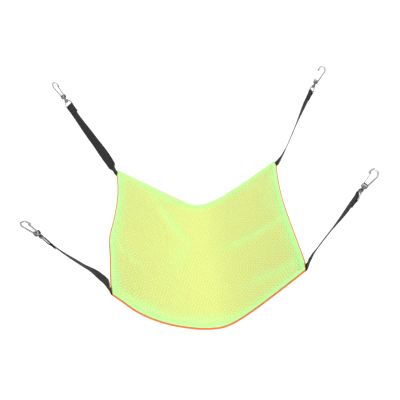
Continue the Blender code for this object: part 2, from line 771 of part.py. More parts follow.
def main():
    clear_scene()
    finishes = {
        "mesh_green": material("mesh_green", (0.52, 1.0, 0.30), 0.75),
        "mesh_orange": material("mesh_orange", (0.90, 0.17, 0.04), 0.75),
        "webbing": material("webbing", (0.03, 0.03, 0.032), 0.7),
        "thread_black": material("thread_black", (0.02, 0.02, 0.022), 0.6),
        "thread_green": material("thread_green", (0.40, 0.85, 0.25), 0.6),
        "steel": material("steel", (0.75, 0.76, 0.78), 0.22, 1.0),
        "leaf_steel": material("leaf_steel", (0.82, 0.82, 0.83), 0.3, 1.0),
    }
    shapes = {"ring": ring_mesh(), "hook": hook_mesh(), "rivet": rivet_mesh(), "gate": gate_mesh()}
    build_panel(finishes)
    for name, corner in CORNERS.items():
        build_corner(name, corner, shapes, finishes)
    bpy.context.view_layer.update()


main()
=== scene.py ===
import json
from math import atan2, cos, hypot, pi, radians, sin, sqrt, tan

import bmesh
import bpy
import numpy as np
from mathutils import Matrix, Vector

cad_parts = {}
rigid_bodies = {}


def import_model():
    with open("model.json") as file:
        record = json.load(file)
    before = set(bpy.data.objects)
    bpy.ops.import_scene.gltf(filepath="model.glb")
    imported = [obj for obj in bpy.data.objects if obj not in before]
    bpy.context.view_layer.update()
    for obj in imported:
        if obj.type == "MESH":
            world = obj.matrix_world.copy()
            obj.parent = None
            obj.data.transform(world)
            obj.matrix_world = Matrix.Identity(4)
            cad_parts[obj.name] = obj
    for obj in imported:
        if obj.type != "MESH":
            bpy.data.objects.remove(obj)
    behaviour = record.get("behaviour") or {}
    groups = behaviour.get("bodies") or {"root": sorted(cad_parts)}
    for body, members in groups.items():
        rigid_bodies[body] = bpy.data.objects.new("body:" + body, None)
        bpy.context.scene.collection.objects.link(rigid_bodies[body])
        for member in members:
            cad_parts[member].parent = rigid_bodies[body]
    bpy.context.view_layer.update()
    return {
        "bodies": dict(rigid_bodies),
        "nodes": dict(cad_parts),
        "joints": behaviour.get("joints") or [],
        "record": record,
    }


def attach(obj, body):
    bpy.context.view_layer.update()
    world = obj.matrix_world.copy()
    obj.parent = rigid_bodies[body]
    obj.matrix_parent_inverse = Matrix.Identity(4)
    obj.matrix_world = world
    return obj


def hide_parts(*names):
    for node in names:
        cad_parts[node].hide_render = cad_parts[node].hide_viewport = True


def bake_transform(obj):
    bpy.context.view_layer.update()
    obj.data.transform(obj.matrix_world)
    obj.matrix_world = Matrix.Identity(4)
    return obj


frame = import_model()
mm = 0.001


class Wire:  # a node's output that takes arithmetic
    def __init__(self, tree, socket):
        self.tree, self.socket = tree, socket

    def also(self, name):  # another output of the same node
        return Wire(self.tree, self.socket.node.outputs[name])

    def math(self, operation, other=0.0, swapped=False):
        first, second = (other, self) if swapped else (self, other)
        return self.tree.node("ShaderNodeMath", {"operation": operation}, {0: first, 1: second})

    def __add__(self, other):
        return self.math("ADD", other)

    def __sub__(self, other):
        return self.math("SUBTRACT", other)

    def __rsub__(self, other):
        return self.math("SUBTRACT", other, True)

    def __mul__(self, other):
        return self.math("MULTIPLY", other)

    def __truediv__(self, other):
        return self.math("DIVIDE", other)

    def __mod__(self, other):
        return self.math("FLOORED_MODULO", other)

    __radd__, __rmul__ = __add__, __mul__


class Tree:
    def __init__(self, nodeTree):
        self.nodes, self.links = nodeTree.nodes, nodeTree.links

    def feed(self, socket, value):
        if isinstance(value, Wire):
            self.links.new(value.socket, socket)
        else:
            socket.default_value = value

    def node(self, kind, settings=None, inputs=None, output=0):
        made = self.nodes.new(kind)
        for key, value in (settings or {}).items():
            setattr(made, key, value)
        for key, value in (inputs or {}).items():
            self.feed(made.inputs[key], value)
        return Wire(self, made.outputs[output])

    def mix(self, share, first, second):
        return self.node("ShaderNodeMix", {"data_type": "RGBA"}, {0: share, 6: first, 7: second}, 2)

    def between(self, value, low, high):  # 0 at low to 1 at high, eased
        limits = {0: value, 1: low, 2: high}
        return self.node("ShaderNodeMapRange", {"interpolation_type": "SMOOTHSTEP"}, limits)


class Finish(Tree):
    def __init__(self, name, constants):
        self.material = bpy.data.materials.new(name)
        self.material.use_nodes = True
        super().__init__(self.material.node_tree)
        self.shader = self.nodes["Principled BSDF"]
        for key, value in constants.items():
            self.shader.inputs[key].default_value = value

    def vary(self, **sockets):
        for key, value in sockets.items():
            self.feed(self.shader.inputs[key.replace("_", " ")], value)

    def objectPlace(self):
        return self.node("ShaderNodeTexCoord", output="Object")

    def clothPlace(self):
        return self.node("ShaderNodeUVMap", {"uv_map": "cloth"})

    def painted(self, name):
        return self.node("ShaderNodeAttribute", {"attribute_name": name}, output="Fac")

    def noise(self, place, scale, detail=2.0, rough=0.5):
        inputs = {"Vector": place, "Scale": scale, "Detail": detail, "Roughness": rough}
        return self.node("ShaderNodeTexNoise", None, inputs)

    def ripple(self, place, scale, direction):
        settings = {"wave_type": "BANDS", "bands_direction": direction, "wave_profile": "SIN"}
        return self.node("ShaderNodeTexWave", settings, {"Vector": place, "Scale": scale}, "Fac")

    def bump(self, height, distance, strength):
        inputs = {"Height": height, "Distance": distance, "Strength": strength}
        self.vary(Normal=self.node("ShaderNodeBump", None, inputs))


def tint(red, green, blue):  # display values to linear
    values = [c / 255 for c in (red, green, blue)]
    linear = [c / 12.92 if c <= 0.04045 else ((c + 0.055) / 1.055) ** 2.4 for c in values]
    return (*linear, 1.0)


# where a net lies open, the painted light and shade at its hems and folds, and the painted shade on
# the sides of its holes
netColors = {
    "green": {"open": tint(196, 245, 122), "close": tint(186, 254, 140), "rim": tint(228, 214, 94)},
    "orange": {
        "open": tint(250, 128, 44), "close": tint(244, 110, 38), "rim": tint(236, 92, 30),
        "within": tint(252, 168, 74),  # its inner side, which the green layer lights
    },
}


def netFinish(name, colors):
    made = Finish(name, {"Roughness": 0.72, "Specular IOR Level": 0.25, "Sheen Weight": 0.15})
    place = made.clothPlace()
    cloudy = made.noise(place, 20.0, 3.0)
    # painted light and shade: paler or darker by the hems and on the folds
    share = made.painted("close") + (cloudy - 0.45) * 0.6
    color = made.mix(made.between(share, 0.0, 1.0), colors["open"], colors["close"])
    # painted shade on the sides of the holes, less of it where the hem and fold shading is
    color = made.mix(made.painted("rim") * (1.0 - share) * 0.75, color, colors["rim"])
    if "within" in colors:
        inside = made.node("ShaderNodeNewGeometry", output="Backfacing")
        color = made.mix(inside, color, colors["within"])
    yarn = made.ripple(place, 900.0, "DIAGONAL")
    # painted sheen: fine streaks along the yarn, mixed towards white
    color = made.mix(yarn * 0.12, color, (1.0, 1.0, 1.0, 1.0))
    made.vary(Base_Color=color, Roughness=made.noise(place, 300.0) * 0.2 + 0.62)
    made.bump(yarn, 0.00012, 0.6)
    return made.material


def hemFinish(name, color, deep):
    made = Finish(name, {"Roughness": 0.75, "Specular IOR Level": 0.22, "Sheen Weight": 0.2})
    place = made.clothPlace()
    across = made.ripple(place, 330.0, "X")
    along = made.ripple(place, 330.0, "Y")
    loops = across * along
    worn = made.between(made.noise(place, 60.0, 3.0), 0.35, 0.75)
    base = made.mix(worn * 0.35, color, deep)
    # painted shade: darker between the knit loops
    made.vary(Base_Color=made.mix((1.0 - loops) * 0.16, base, deep), Roughness=loops * 0.15 + 0.66)
    made.bump(loops, 0.00025, 0.7)
    return made.material


def webbingFinish():
    made = Finish("webbingFinish", {"Specular IOR Level": 0.25, "Sheen Weight": 0.03})
    place = made.clothPlace()
    warp = made.ripple(place, 260.0, "X")
    weft = made.ripple(place, 420.0, "DIAGONAL")
    woven = warp * 0.6 + weft * 0.4
    dusty = made.between(made.noise(place, 45.0, 4.0), 0.4, 0.8)
    # painted light: lighter on the raised threads of the weave, darker between them
    color = made.mix(woven, tint(10, 10, 12), tint(46, 46, 49))
    color = made.mix(dusty * 0.12, color, tint(60, 60, 63))
    made.vary(Base_Color=color, Roughness=0.78 - woven * 0.25)
    made.bump(woven, 0.0002, 0.6)
    return made.material


def threadFinish(name, color, deep):
    made = Finish(name, {"Specular IOR Level": 0.4})
    place = made.objectPlace()
    twist = made.ripple(place, 700.0, "DIAGONAL")
    # painted shade: darker in the grooves of the twist
    made.vary(Base_Color=made.mix(twist, deep, color), Roughness=0.65 - twist * 0.2)
    made.bump(twist, 0.00008, 0.8)
    return made.material


def metalFinish(name, bright, dull, rough):
    made = Finish(name, {"Metallic": 1.0, "Specular Tint": (0.25, 0.25, 0.26, 1.0)})
    place = made.objectPlace()
    # painted shade for the dark reflections: darker towards the grazing edges and where 'shade' is
    # painted on the swivel and the block
    rim = made.node("ShaderNodeLayerWeight", None, {"Blend": 0.5}, "Facing")
    smoky = made.between(made.noise(place, 90.0, 3.0), 0.35, 0.7)
    scuffs = made.noise(place, 900.0, 2.0, 0.7)
    shaded = (rim * 0.65 + made.painted("shade")).math("MINIMUM", 0.95)
    color = made.mix(shaded, made.mix(smoky * 0.5, bright, dull), tint(34, 34, 36))
    made.vary(Base_Color=color, Roughness=smoky * 0.1 + scuffs * 0.12 + rough)
    made.bump(scuffs, 0.00003, 0.5)
    return made.material


finishes = {
    "upperNet": netFinish("upperNetFinish", netColors["green"]),
    "lowerNet": netFinish("lowerNetFinish", netColors["orange"]),
    "upperHem": hemFinish("upperHemFinish", tint(190, 255, 158), tint(176, 248, 138)),
    "lowerHem": hemFinish("lowerHemFinish", tint(238, 118, 46), tint(214, 90, 30)),
    "webbing": webbingFinish(),
    "greenThread": threadFinish("greenThreadFinish", tint(190, 250, 160), tint(158, 232, 132)),
    "blackThread": threadFinish("blackThreadFinish", tint(58, 58, 60), tint(22, 22, 24)),
    "nickel": metalFinish("nickelFinish", tint(186, 187, 190), tint(140, 142, 145), 0.16),
    "springSteel": metalFinish("springSteelFinish", tint(196, 196, 199), tint(160, 161, 164), 0.26),
}
print("finishes:", len(finishes))


# the panel as it hangs, in metres. Pairs are at the front and at the back, and shares are of the width
hung = {
    "hangWidth": 0.564, "hangDepth": 0.458, "panelWidth": 0.358, "panelDepth": 0.394,
    "strapAndHook": 0.178 + 0.0569,  # from a panel corner to what its hook hangs on
    "sag": (0.119, 0.112), "sagMiddle": 0.004, "sideSag": 0.008,
    "troughAt": (0.535, 0.49), "roundLeft": (2.7, 0.14), "roundRight": (0.25, 0.31),
    "leftWave": 0.0052, "leftKink": 0.0035, "frontBulge": 0.0028, "rightPull": 0.0074,
    "cutAcross": 0.0025, "cutAlong": 0.0205,  # what each corner loses
    "tabBeyond": 0.0026,  # a strap leaves the panel this far out from the cut corner
    "clothDepth": 0.3949,  # along its surface, from front to back
}
layerAt = 1.0 * mm  # each net's middle, from the surface between them
layers = {  # standOut is how far an edge is past the upper net's, and trim what the corners lose more
    "upper": {
        "side": 1, "open": 0.54, "crossways": False, "follow": 1.0, "standOut": (0, 0), "trim": 0,
        "slot": "mesh_green", "node": "upper_mesh_panel", "flat": (0.429, 0.395),
    },
    "lower": {
        "side": -1, "open": 0.44, "crossways": True, "follow": 0.35, "standOut": (1.4 * mm, 3.4 * mm),
        "trim": 2.2 * mm, "slot": "mesh_orange", "node": "lower_mesh_panel", "flat": (0.432, 0.402),
    },
}
# lift is the bend up beside the tab, spin the hook's turn, fold the side it is folded to and its skew,
# and turns the twist at shares of the strap: angles in degrees
corners = {
    "back_left": {
        "side": (-1, 1), "hangShift": (-0.002, 0.003, 0.004), "panelShift": (0.002, 0.0035),
        "lift": 35, "spin": 90, "fold": (-1, 2.5 * mm),
        "turns": ((0, 0), (0.08, -2), (0.18, -43), (0.35, -60), (0.6, -35), (1, -17)),
    },
    "back_right": {
        "side": (1, 1), "hangShift": (0.007, -0.005, -0.004), "panelShift": (0.007, 0.0045),
        "lift": 10, "spin": 70, "fold": (1, -1 * mm),
        "turns": ((0, 0), (0.08, -6), (0.18, -15), (0.35, -23), (0.6, -21), (1, -2)),
    },
    "front_right": {
        "side": (1, -1), "hangShift": (-0.012, 0.012, 0.011), "panelShift": (-0.0035, 0.006),
        "lift": 40, "spin": 60, "fold": (1, -0.5 * mm),
        "turns": ((0, 0), (0.08, 1), (0.18, -6), (0.35, -20), (0.6, -21), (1, -3)),
    },
    "front_left": {
        "side": (-1, -1), "hangShift": (0, -0.014, -0.012), "panelShift": (0.0035, 0.002),
        "lift": 55, "spin": 50, "fold": (1, 1 * mm),
        "turns": ((0, 0), (0.08, -11), (0.18, -18), (0.35, -9), (0.6, 16), (1, 24)),
    },
}


def lerp(first, second, share):
    return first + (second - first) * share


def smooth(value):
    value = np.clip(value, 0, 1)
    return value * value * (3 - 2 * value)


def hangPoint(corner):
    x, y = corner["side"]
    middle = Vector((x * hung["hangWidth"] / 2, y * hung["hangDepth"] / 2, 0))
    return middle + Vector(corner["hangShift"])


def panelCorner(corner):
    x, y = corner["side"]
    shift, top = corner["panelShift"], hangPoint(corner)
    halfWidth, halfDepth = hung["panelWidth"] / 2, hung["panelDepth"] / 2
    point = Vector((x * halfWidth + shift[0], y * halfDepth + shift[1], 0))
    across = (point.xy - top.xy).length
    point.z = top.z - sqrt(hung["strapAndHook"] ** 2 - across**2)
    return np.array(point)


cornerAt = {name: panelCorner(corner) for name, corner in corners.items()}


def panelPoints(u, v):  # shares of the width and of the depth, seen from above
    u, v = np.broadcast_arrays(np.asarray(u, float), np.asarray(v, float))
    front = lerp(cornerAt["front_left"], cornerAt["front_right"], u[..., None])
    back = lerp(cornerAt["back_left"], cornerAt["back_right"], u[..., None])
    points = lerp(front, back, v[..., None])
    middle = 4 * v * (1 - v)
    inner = np.clip(v, 0, 1)  # the edges' own waves stop at the hems
    troughAt = lerp(*hung["troughAt"], v)
    onLeft = u < troughAt
    roundness = np.where(onLeft, lerp(*hung["roundLeft"], v), lerp(*hung["roundRight"], v))
    t = (u - troughAt) / np.where(onLeft, troughAt, 1 - troughAt)
    top = np.sqrt(1 + roundness**2)
    depth = (top - np.sqrt(t * t + roundness**2)) / (top - roundness)
    points[..., 2] -= (lerp(*hung["sag"], v) + hung["sagMiddle"] * middle) * depth
    points[..., 2] -= hung["sideSag"] * middle * (1 - depth)
    points[..., 0] -= hung["leftWave"] * np.sin(2 * np.pi * inner**1.3) * (1 - u) ** 2
    # beside the front left corner, but not at the strap
    bulge = smooth((u - 0.02) / 0.11) * smooth((0.4 - u) / 0.27) * (1 - inner) ** 5
    points[..., 1] -= hung["frontBulge"] * bulge
    points[..., 2] -= hung["frontBulge"] * bulge
    points[..., 0] -= hung["leftKink"] * np.exp(-(((inner - 0.42) / 0.1) ** 2)) * (1 - u) ** 4
    points[..., 0] -= hung["rightPull"] * np.sin(np.pi * inner**1.6) * u**2
    return points


# the cloth's own width runs along the trough's curve, so its holes stay even
uLine, vLine = np.linspace(-0.04, 1.04, 217), np.linspace(-0.03, 1.03, 54)
shareLine = np.linspace(-0.03, 1.03, 213)
steps = np.linalg.norm(np.diff(panelPoints(uLine[:, None], vLine[None, :]), axis=0), axis=-1)
runs = np.concatenate([np.zeros((1, len(vLine))), np.cumsum(steps, axis=0)])
uTable = np.empty((len(shareLine), len(vLine)))
clothWidths = []
for k in range(len(vLine)):
    ends = np.interp((0, 1), uLine, runs[:, k])
    uTable[:, k] = np.interp(shareLine, (runs[:, k] - ends[0]) / (ends[1] - ends[0]), uLine)
    clothWidths.append(ends[1] - ends[0])
clothWidth, clothDepth = float(np.mean(clothWidths)), hung["clothDepth"]


def clothPoints(a, b):  # metres on the flat cloth, from its middle
    s, v = a / clothWidth + 0.5, b / clothDepth + 0.5
    i = np.clip((s - shareLine[0]) / (shareLine[1] - shareLine[0]), 0, len(shareLine) - 1.001)
    j = np.clip((v - vLine[0]) / (vLine[1] - vLine[0]), 0, len(vLine) - 1.001)
    i0, j0 = i.astype(int), j.astype(int)
    first = lerp(uTable[i0, j0], uTable[i0, j0 + 1], j - j0)
    second = lerp(uTable[i0 + 1, j0], uTable[i0 + 1, j0 + 1], j - j0)
    return panelPoints(lerp(first, second, i - i0), v)


def clothNormals(a, b):
    step = 0.5 * mm
    across = clothPoints(a + step, b) - clothPoints(a - step, b)
    along = clothPoints(a, b + step) - clothPoints(a, b - step)
    normal = np.cross(across, along)
    return normal / np.linalg.norm(normal, axis=-1, keepdims=True)


drape = {
    "flatEdge": 3 * mm, "easedOver": 22 * mm,  # the hems lie flat, and the folds rise from there in
    "fullLift": 2.6 * mm,  # the height at which the upper net is right off the lower one
    "rippleHeight": 0.25 * mm,
}
folds = [  # a line in shares of the cloth, then width and height in metres
    (((0.22, 0.93), (0.34, 0.78), (0.44, 0.62)), 0.016, 0.0026),
    (((0.42, 0.64), (0.34, 0.36)), 0.022, 0.0012),
    (((0.99, 0.47), (0.77, 0.50), (0.60, 0.56)), 0.013, 0.0026),
    (((1.00, 0.08), (0.85, 0.13), (0.69, 0.18)), 0.016, 0.0024),
    (((0.00, 0.08), (0.16, 0.05), (0.32, 0.07)), 0.018, 0.0022),
    (((0.32, 0.05), (0.62, 0.07)), 0.014, 0.0012),
    (((0.02, 0.43), (0.20, 0.33)), 0.016, 0.0014),
    (((0.74, 0.97), (0.93, 0.86)), 0.016, 0.0012),
    (((0.97, 0.92), (0.90, 0.70), (0.94, 0.52)), 0.012, 0.0012),
]


def trimmedSizes(layer, inset):  # half sizes, then what each corner loses across and along
    wider, deeper = layer["standOut"]
    across = hung["cutAcross"] * 1.25 + wider + layer["trim"]
    along = hung["cutAlong"] + deeper + layer["trim"]
    kept = 1 + inset * (hypot(across, along) - across - along) / (across * along)
    halfWidth, halfDepth = clothWidth / 2 + wider - inset, clothDepth / 2 + deeper - inset
    return halfWidth, halfDepth, across * kept, along * kept


def edgeDistance(a, b, layer=layers["upper"]):
    halfWidth, halfDepth, across, along = trimmedSizes(layer, 0)
    x, y = halfWidth - np.abs(a), halfDepth - np.abs(b)
    slant = (x * along + y * across - across * along) / hypot(across, along)
    return np.minimum(np.minimum(x, y), slant)


def foldShare(a, b):  # height of the folds, and how much each lifts the net
    height, lift = np.zeros_like(a), np.zeros_like(a)
    for shares, width, most in folds:
        line = [np.array(((s - 0.5) * clothWidth, (t - 0.5) * clothDepth)) for s, t in shares]
        nearest, total, walked = np.full_like(a, 9.0), 0.0, np.zeros_like(a)
        lengths = [np.linalg.norm(q - p) for p, q in zip(line, line[1:])]
        for (p, q), length in zip(zip(line, line[1:]), lengths):
            way = (q - p) / length
            t = np.clip((a - p[0]) * way[0] + (b - p[1]) * way[1], 0, length)
            away = np.hypot(a - p[0] - way[0] * t, b - p[1] - way[1] * t)
            walked = np.where(away < nearest, total + t, walked)
            nearest = np.minimum(nearest, away)
            total += length
        fade = np.sin(np.pi * np.clip(walked / total * 0.8 + 0.12, 0, 1))  # lower towards its ends
        ridge = np.exp(-((nearest / width) ** 2)) * fade
        height += most * ridge
        lift = np.maximum(lift, ridge * most / drape["fullLift"])
    return height, lift


def hungPoints(a, b, offset, follow=1.0):
    inside = smooth((edgeDistance(a, b) - drape["flatEdge"]) / drape["easedOver"])
    ripple = np.sin(a * 210 + 2.1 * np.sin(b * 60)) * np.sin(b * 150 + 1.7 * np.sin(a * 75))
    raised = (foldShare(a, b)[0] * follow + drape["rippleHeight"] * ripple) * inside
    return clothPoints(a, b) + clothNormals(a, b) * (offset + raised)[..., None]


def newObject(name, data):
    made = bpy.data.objects.new(name, data)
    bpy.context.scene.collection.objects.link(made)
    return made


def settle(piece, body, replaced):
    if body:  # webbing has none
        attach(piece, body)
    if replaced is not None:
        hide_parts(*replaced)
    return piece


def addPiece(name, mesh, finish, body, replaced=None):
    mesh.materials.append(finishes[finish])
    return settle(newObject(name, mesh), body, replaced)


def layCloth(mesh, uvs):
    layer = mesh.uv_layers.new(name="cloth")
    order = np.empty(len(mesh.loops), int)
    mesh.loops.foreach_get("vertex_index", order)
    layer.data.foreach_set("uv", uvs[order].ravel())


def paint(mesh, label, values):
    mesh.attributes.new(label, "FLOAT", "POINT").data.foreach_set("value", values.astype(float))


def pointsOf(mesh):
    points = np.empty(len(mesh.vertices) * 3)
    mesh.vertices.foreach_get("co", points)
    return points.reshape(-1, 3)


def smoothShaded(mesh):
    mesh.polygons.foreach_set("use_smooth", [True] * len(mesh.polygons))


def cleaned(mesh, mergeWithin=None):  # its normals outwards, or its doubles merged
    edited = bmesh.new()
    edited.from_mesh(mesh)
    if mergeWithin:
        bmesh.ops.remove_doubles(edited, verts=edited.verts, dist=mergeWithin)
    else:
        bmesh.ops.recalc_face_normals(edited, faces=edited.faces)
    edited.to_mesh(mesh)
    edited.free()
    smoothShaded(mesh)
    return mesh


def meshOf(points, faces, uvs=None):
    mesh = bpy.data.meshes.new("shape")
    mesh.from_pydata([tuple(p) for p in points], [], [tuple(f) for f in faces])
    if uvs is not None:
        layCloth(mesh, uvs)
    return cleaned(mesh)


def bandFaces(rows, columns, closed=False):  # closed joins the last row to the first
    faces = []
    for row in range(rows if closed else rows - 1):
        here, after = row * columns, (row + 1) % rows * columns
        for column in range(columns):
            beside = (column + 1) % columns
            faces.append((here + column, here + beside, after + beside, after + column))
    return faces


def plainMesh(piece):  # what its modifiers make
    bpy.context.view_layer.update()
    graph = bpy.context.evaluated_depsgraph_get()
    mesh = bpy.data.meshes.new_from_object(piece.evaluated_get(graph))
    piece.modifiers.clear()
    piece.data = mesh
    return mesh


def nodeModifier(piece, group, **values):
    modifier = piece.modifiers.new("made", "NODES")
    modifier.node_group = group
    for item in group.interface.items_tree:
        if item.item_type == "SOCKET" and item.in_out == "INPUT" and item.name in values:
            modifier[item.identifier] = values[item.name]


def newGroup(name, sizes):
    group = bpy.data.node_groups.new(name, "GeometryNodeTree")
    sockets = {"Geometry": "Geometry", **dict.fromkeys(sizes, "Float"), "Finish": "Material"}
    for label, kind in sockets.items():
        group.interface.new_socket(label, in_out="INPUT", socket_type="NodeSocket" + kind)
    group.interface.new_socket("Geometry", in_out="OUTPUT", socket_type="NodeSocketGeometry")
    return group


def endGroup(tree, geometry, material):
    whole = tree.node("GeometryNodeRealizeInstances", None, {0: geometry})
    dressed = tree.node("GeometryNodeSetMaterial", None, {0: whole, "Material": material})
    out = tree.nodes.new("NodeGroupOutput")
    tree.feed(out.inputs[0], dressed)


netCut = {
    "pitch": 3.5 * mm, "relief": 0.3 * mm, "underHem": 3 * mm,
    "hemShade": 7 * mm, "shadeFades": 34 * mm,  # painted shading by the hem, and how far in that goes
}


def netGroup():  # a flat net with hexagonal holes
    sizes = ("Width", "Depth", "CutAcross", "CutAlong", "Pitch", "Open", "Relief")
    group = newGroup("perforatedNet", sizes)
    tree = Tree(group)
    given = tree.node("NodeGroupInput")
    width, depth, across, along, pitch, opened, relief = (given.also(label) for label in sizes)
    rowPitch = pitch * sqrt(0.75)
    columns = (width / pitch + 3.0).math("FLOOR")
    rows = (depth / rowPitch + 3.0).math("FLOOR")
    sizeX, sizeY = (columns - 1.0) * pitch, (rows - 1.0) * rowPitch
    grid = tree.node("GeometryNodeMeshGrid", None, {
        "Size X": sizeX, "Size Y": sizeY, "Vertices X": columns, "Vertices Y": rows,
    })
    place = tree.node("ShaderNodeSeparateXYZ", None, {0: tree.node("GeometryNodeInputPosition")})
    row = ((place.also("Y") + sizeY * 0.5) / rowPitch + 0.5).math("FLOOR")
    shift = tree.node("ShaderNodeCombineXYZ", None, {"X": (row % 2.0 - 0.5) * 0.5 * pitch})
    staggered = tree.node("GeometryNodeSetPosition", None, {"Geometry": grid, "Offset": shift})
    triangles = tree.node("GeometryNodeTriangulate", None, {0: staggered})
    cells = tree.node("GeometryNodeDualMesh", None, {0: triangles})
    outwards = {"Mesh": cells, "Offset Scale": 0.0, "Individual": True}
    rings = tree.node("GeometryNodeExtrudeMesh", {"mode": "FACES"}, outwards)
    top = rings.also("Top")
    shrunk = tree.node("GeometryNodeScaleElements", None, {
        "Geometry": rings, "Selection": top, "Scale": opened,
    })
    down = tree.node("ShaderNodeCombineXYZ", None, {"Z": relief * -1.0})
    sunk = tree.node("GeometryNodeSetPosition", None, {
        "Geometry": shrunk, "Selection": top, "Offset": down,
    })
    holed = tree.node("GeometryNodeDeleteGeometry", {"domain": "FACE", "mode": "ONLY_FACE"}, {
        "Geometry": sunk, "Selection": top,
    })
    x, y = place.also("X").math("ABSOLUTE"), place.also("Y").math("ABSOLUTE")
    pastX, pastY = x - width * 0.5, y - depth * 0.5
    pastCut = pastX * along + pastY * across + across * along
    past = pastX.math("MAXIMUM", pastY).math("MAXIMUM", pastCut)
    trimmed = tree.node("GeometryNodeDeleteGeometry", {"domain": "FACE"}, {
        "Geometry": holed, "Selection": past,
    })
    endGroup(tree, trimmed, given.also("Finish"))
    return group


netNodes = netGroup()


def netPiece(name, layer):  # made flat, then hung
    sizes = trimmedSizes(layer, netCut["underHem"])
    if layer["crossways"]:
        sizes = [sizes[k] for k in (1, 0, 3, 2)]
    piece = newObject(name, bpy.data.meshes.new("net"))
    nodeModifier(
        piece, netNodes, Width=2 * sizes[0], Depth=2 * sizes[1], CutAcross=sizes[2], CutAlong=sizes[3],
        Pitch=netCut["pitch"], Open=layer["open"], Relief=netCut["relief"], Finish=finishes[name],
    )
    mesh = plainMesh(piece)
    flat = pointsOf(mesh)
    if layer["crossways"]:  # which also turns the faces of the lower net down
        flat = flat[:, (1, 0, 2)]
    a, b = flat[:, 0], flat[:, 1]
    placed = hungPoints(a, b, (layerAt + flat[:, 2]) * layer["side"], layer["follow"])
    mesh.vertices.foreach_set("co", placed.ravel())
    layCloth(mesh, flat[:, :2])
    # painted light and shade by the hems and on the folds
    fromHem = smooth((edgeDistance(a, b, layer) - netCut["hemShade"]) / netCut["shadeFades"]) ** 0.7
    paint(mesh, "close", np.clip(0.75 * (foldShare(a, b)[1] + 1 - fromHem), 0, 1))
    # painted shade on the sides of the holes
    paint(mesh, "rim", flat[:, 2] < -netCut["relief"] / 2)
    smoothShaded(mesh)
    mesh.update()
    print(name, len(mesh.polygons), "faces")
    return settle(piece, "panel", [layer["node"]])


upperNet = netPiece("upperNet", layers["upper"])
lowerNet = netPiece("lowerNet", layers["lower"])

hem = {"width": 9.5 * mm, "half": 0.78 * mm, "step": 3.5 * mm, "seamAt": 0.78}
hemProfile = [  # share of the width from the edge, share of half the thickness
    (0.0, 0.0), (0.012, 0.5), (0.05, 0.85), (0.14, 1.0), (0.4, 1.08), (0.62, 1.0), (0.72, 0.86),
    (0.78, 0.62), (0.84, 0.82), (0.93, 0.86), (0.985, 0.6), (1.0, 0.0),
]
hemProfile += [(x, -y) for x, y in reversed(hemProfile[1:-1])]


def outline(layer, inset):  # the trimmed cut's eight corners, in from the edge
    halfWidth, halfDepth, across, along = trimmedSizes(layer, inset)
    quarter = [(halfWidth, halfDepth - along), (halfWidth - across, halfDepth)]
    upperFour = quarter + [(-x, y) for x, y in reversed(quarter)]
    return np.array(upperFour + [(-x, -y) for x, y in upperFour])


def runRound(layer, inset):
    outer, inner = outline(layer, 0), outline(layer, inset)
    run = []
    for k in range(8):
        first, second = inner[k], inner[(k + 1) % 8]
        count = max(int(np.linalg.norm(outer[(k + 1) % 8] - outer[k]) / hem["step"]), 3)
        run += [lerp(first, second, n / count) for n in range(count)]
    return np.array(run)


def hemPiece(name, layer):  # a band folded round its net's edge
    outer, inner = runRound(layer, 0), runRound(layer, hem["width"])
    along = np.concatenate([[0], np.cumsum(np.linalg.norm(np.diff(outer, axis=0), axis=1))])
    across, thick = np.array(hemProfile).T
    flat = lerp(outer[:, None, :], inner[:, None, :], across[None, :, None])
    fine, slow = np.sin(along * 1300), np.sin(along * 190 + 2 * np.sin(along * 47))
    pucker = 0.10 * mm * fine + 0.22 * mm * slow
    offset = layerAt * layer["side"] + thick * hem["half"] + pucker[:, None] * (0.3 + across * 0.4)
    placed = hungPoints(flat[..., 0], flat[..., 1], offset)
    uvs = np.stack(np.broadcast_arrays(along[:, None], across * hem["width"]), -1)
    faces = bandFaces(len(outer), len(hemProfile), True)
    mesh = meshOf(placed.reshape(-1, 3), faces, uvs.reshape(-1, 2))
    return addPiece(name, mesh, name, "panel")


upperHem = hemPiece("upperHem", layers["upper"])
lowerHem = hemPiece("lowerHem", layers["lower"])

stitching = {"length": 3.2 * mm, "gap": 0.9 * mm, "thick": 0.3 * mm}


def stitchGroup():
    sizes = ("Length", "Gap", "Thick")
    group = newGroup("stitchRow", sizes)
    tree = Tree(group)
    given = tree.node("NodeGroupInput")
    length, gapBetween, thick = (given.also(label) for label in sizes)
    curve = tree.node("GeometryNodeMeshToCurve", None, {0: given})
    spaced = tree.node("GeometryNodeResampleCurve", {"mode": "LENGTH"}, {
        "Curve": curve, "Length": length + gapBetween,
    })
    ball = tree.node("GeometryNodeMeshUVSphere", None, {"Segments": 6, "Rings": 6, "Radius": 1.0})
    bead = tree.node("GeometryNodeSetShadeSmooth", None, {0: ball})
    size = tree.node("ShaderNodeCombineXYZ", None, {"X": length * 0.5, "Y": thick, "Z": thick})
    stitch = tree.node("GeometryNodeTransform", None, {"Geometry": bead, "Scale": size})
    way = tree.node("GeometryNodeInputTangent")
    turned = tree.node("FunctionNodeAlignRotationToVector", {"axis": "X"}, {"Vector": way})
    row = tree.node("GeometryNodeInstanceOnPoints", None, {
        "Points": spaced, "Instance": stitch, "Rotation": turned,
    })
    endGroup(tree, row, given.also("Finish"))
    return group


stitchNodes = stitchGroup()


def stitchPiece(name, finish, lines, body, replaced=(), length=stitching["length"]):
    points = [tuple(p) for line in lines for p in line]
    edges, start = [], 0
    for line in lines:
        edges += [(start + k, start + k + 1) for k in range(len(line) - 1)]
        start += len(line)
    mesh = bpy.data.meshes.new("seam")
    mesh.from_pydata(points, edges, [])
    piece = newObject(name, mesh)
    nodeModifier(piece, stitchNodes, Length=length, Gap=stitching["gap"], Thick=stitching["thick"],
                 Finish=finishes[finish])
    plainMesh(piece)
    return settle(piece, body, replaced)


